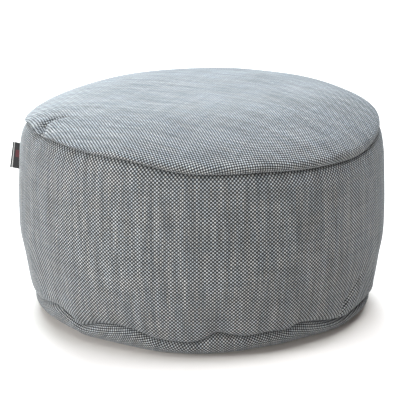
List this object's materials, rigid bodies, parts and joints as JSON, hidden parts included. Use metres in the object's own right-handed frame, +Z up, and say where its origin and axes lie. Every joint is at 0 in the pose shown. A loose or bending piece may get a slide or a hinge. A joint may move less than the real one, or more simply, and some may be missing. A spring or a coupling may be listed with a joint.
{
  "type": "outdoor pouf",
  "caption": "Round outdoor pouf of grey woven cloth with a crowned top, soft bead filling and a small side label, for use as a seat or footrest.",
  "frame": {"origin": "centre of the flat underside, on the floor", "axes": "+Z up, -Y towards the front, -X towards the side with the label"},
  "size_m": [0.6101, 0.596, 0.3584],
  "materials": {
    "top_panel_cloth": "woven",
    "side_panel_front_cloth": "woven",
    "side_panel_back_cloth": "woven",
    "base_panel_cloth": "woven",
    "side_label_cloth": "woven"
  },
  "bodies": {
    "root": {"top_panel": "top_panel_cloth", "side_panel_front": "side_panel_front_cloth", "side_panel_back": "side_panel_back_cloth", "base_panel": "base_panel_cloth", "side_label": "side_label_cloth"}
  },
  "joints": []
}
